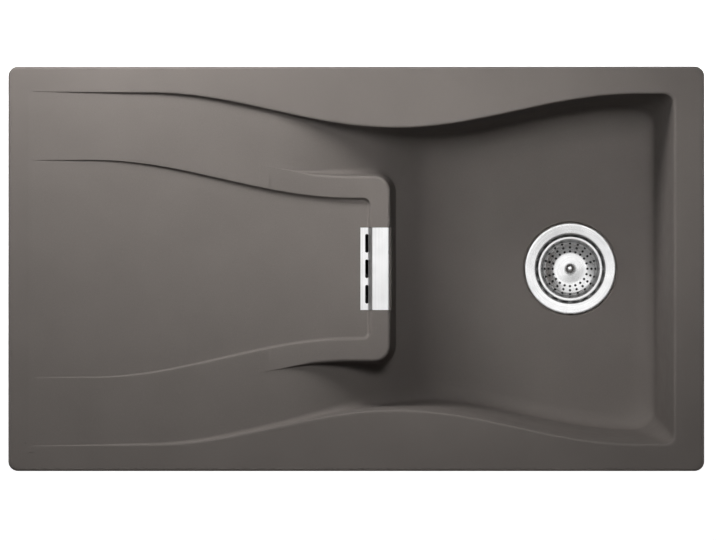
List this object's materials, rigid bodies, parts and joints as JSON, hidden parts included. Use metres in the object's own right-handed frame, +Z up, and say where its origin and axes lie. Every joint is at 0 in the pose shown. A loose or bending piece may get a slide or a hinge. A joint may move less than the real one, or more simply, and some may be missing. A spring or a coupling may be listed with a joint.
{
  "type": "kitchen sink",
  "caption": "Worktop kitchen sink in dark grey composite with one deep bowl, a waisted drainboard, a steel overflow cover and a basket strainer waste.",
  "frame": {"origin": "centre of the worktop cut-out, on the worktop's upper surface, which carries the rim's seal", "axes": "+X from the drainboard to the bowl along the longest side, +Y along the width, +Z up"},
  "size_m": [0.86, 0.5, 0.324],
  "materials": {
    "composite": "matt moulded quartz and resin composite, warm dark grey with a fine grain",
    "satin_steel": "satin, brushed along its length",
    "polished_steel": "polished pressed steel",
    "zinced_steel": "zinc plated",
    "brass": "turned",
    "rubber": "matt black",
    "white_plastic": "moulded white",
    "grey_plastic": "moulded grey",
    "black_plastic": "moulded black"
  },
  "bodies": {
    "sink": {"sink_moulding": "composite", "rim_seal": "rubber", "overflow_gasket": "rubber", "overflow_body": "black_plastic", "overflow_screw_1": "zinced_steel", "overflow_screw_2": "zinced_steel", "overflow_hose": "grey_plastic", "hose_nut_upper": "black_plastic", "hose_nut_lower": "black_plastic", "strainer_flange": "polished_steel", "flange_gasket": "rubber", "body_gasket": "rubber", "waste_body": "white_plastic", "waste_insert": "brass", "fixing_bolt": "polished_steel", "bolt_washer": "polished_steel", "clamp_insert_1": "brass", "clamp_insert_2": "brass", "clamp_insert_3": "brass", "clamp_insert_4": "brass", "clamp_insert_5": "brass", "clamp_insert_6": "brass", "clamp_insert_7": "brass", "clamp_insert_8": "brass"},
    "cover": {"overflow_cover": "satin_steel"},
    "strainer_sleeve": {"catch_sleeve": "white_plastic"},
    "strainer_basket": {"basket": "polished_steel", "basket_knob": "polished_steel", "basket_stem": "polished_steel", "stopper_seal": "rubber", "stopper_washer": "white_plastic"},
    "clamp_screw_body_1": {"clamp_screw_1": "zinced_steel"},
    "clamp_body_1": {"clamp_1": "zinced_steel"},
    "clamp_screw_body_2": {"clamp_screw_2": "zinced_steel"},
    "clamp_body_2": {"clamp_2": "zinced_steel"},
    "clamp_screw_body_3": {"clamp_screw_3": "zinced_steel"},
    "clamp_body_3": {"clamp_3": "zinced_steel"},
    "clamp_screw_body_4": {"clamp_screw_4": "zinced_steel"},
    "clamp_body_4": {"clamp_4": "zinced_steel"},
    "clamp_screw_body_5": {"clamp_screw_5": "zinced_steel"},
    "clamp_body_5": {"clamp_5": "zinced_steel"},
    "clamp_screw_body_6": {"clamp_screw_6": "zinced_steel"},
    "clamp_body_6": {"clamp_6": "zinced_steel"},
    "clamp_screw_body_7": {"clamp_screw_7": "zinced_steel"},
    "clamp_body_7": {"clamp_7": "zinced_steel"},
    "clamp_screw_body_8": {"clamp_screw_8": "zinced_steel"},
    "clamp_body_8": {"clamp_8": "zinced_steel"}
  },
  "joints": [
    {"name": "cover_lift", "type": "slide", "parent": "sink", "child": "cover", "axis": [0, 0, 1], "range_m": [0, 0.04]},
    {"name": "strainer_lift", "type": "slide", "parent": "sink", "child": "strainer_sleeve", "axis": [0, 0, 1], "range_m": [0, 0.26]},
    {"name": "basket_turn", "type": "hinge", "parent": "strainer_sleeve", "child": "strainer_basket", "pos_m": [0.267, 0, -0.2], "axis": [0, 0, 1], "continuous": true},
    {"name": "clamp_tighten_1", "type": "slide", "parent": "sink", "child": "clamp_screw_body_1", "axis": [0, 0, 1], "range_m": [0, 0.016]},
    {"name": "clamp_swing_1", "type": "hinge", "parent": "clamp_screw_body_1", "child": "clamp_body_1", "pos_m": [-0.3, 0.23, -0.0575], "axis": [0, 0, 1], "range_deg": [0, 90]},
    {"name": "clamp_tighten_2", "type": "slide", "parent": "sink", "child": "clamp_screw_body_2", "axis": [0, 0, 1], "range_m": [0, 0.016]},
    {"name": "clamp_swing_2", "type": "hinge", "parent": "clamp_screw_body_2", "child": "clamp_body_2", "pos_m": [-0.05, 0.23, -0.0575], "axis": [0, 0, 1], "range_deg": [0, 90]},
    {"name": "clamp_tighten_3", "type": "slide", "parent": "sink", "child": "clamp_screw_body_3", "axis": [0, 0, 1], "range_m": [0, 0.016]},
    {"name": "clamp_swing_3", "type": "hinge", "parent": "clamp_screw_body_3", "child": "clamp_body_3", "pos_m": [0.2, 0.23, -0.0575], "axis": [0, 0, 1], "range_deg": [0, 90]},
    {"name": "clamp_tighten_4", "type": "slide", "parent": "sink", "child": "clamp_screw_body_4", "axis": [0, 0, 1], "range_m": [0, 0.016]},
    {"name": "clamp_swing_4", "type": "hinge", "parent": "clamp_screw_body_4", "child": "clamp_body_4", "pos_m": [-0.3, -0.23, -0.0575], "axis": [0, 0, 1], "range_deg": [0, 90]},
    {"name": "clamp_tighten_5", "type": "slide", "parent": "sink", "child": "clamp_screw_body_5", "axis": [0, 0, 1], "range_m": [0, 0.016]},
    {"name": "clamp_swing_5", "type": "hinge", "parent": "clamp_screw_body_5", "child": "clamp_body_5", "pos_m": [-0.05, -0.23, -0.0575], "axis": [0, 0, 1], "range_deg": [0, 90]},
    {"name": "clamp_tighten_6", "type": "slide", "parent": "sink", "child": "clamp_screw_body_6", "axis": [0, 0, 1], "range_m": [0, 0.016]},
    {"name": "clamp_swing_6", "type": "hinge", "parent": "clamp_screw_body_6", "child": "clamp_body_6", "pos_m": [0.2, -0.23, -0.0575], "axis": [0, 0, 1], "range_deg": [0, 90]},
    {"name": "clamp_tighten_7", "type": "slide", "parent": "sink", "child": "clamp_screw_body_7", "axis": [0, 0, 1], "range_m": [0, 0.016]},
    {"name": "clamp_swing_7", "type": "hinge", "parent": "clamp_screw_body_7", "child": "clamp_body_7", "pos_m": [0.411, 0, -0.0575], "axis": [0, 0, 1], "range_deg": [0, 90]},
    {"name": "clamp_tighten_8", "type": "slide", "parent": "sink", "child": "clamp_screw_body_8", "axis": [0, 0, 1], "range_m": [0, 0.016]},
    {"name": "clamp_swing_8", "type": "hinge", "parent": "clamp_screw_body_8", "child": "clamp_body_8", "pos_m": [-0.411, 0, -0.0575], "axis": [0, 0, 1], "range_deg": [0, 90]}
  ]
}
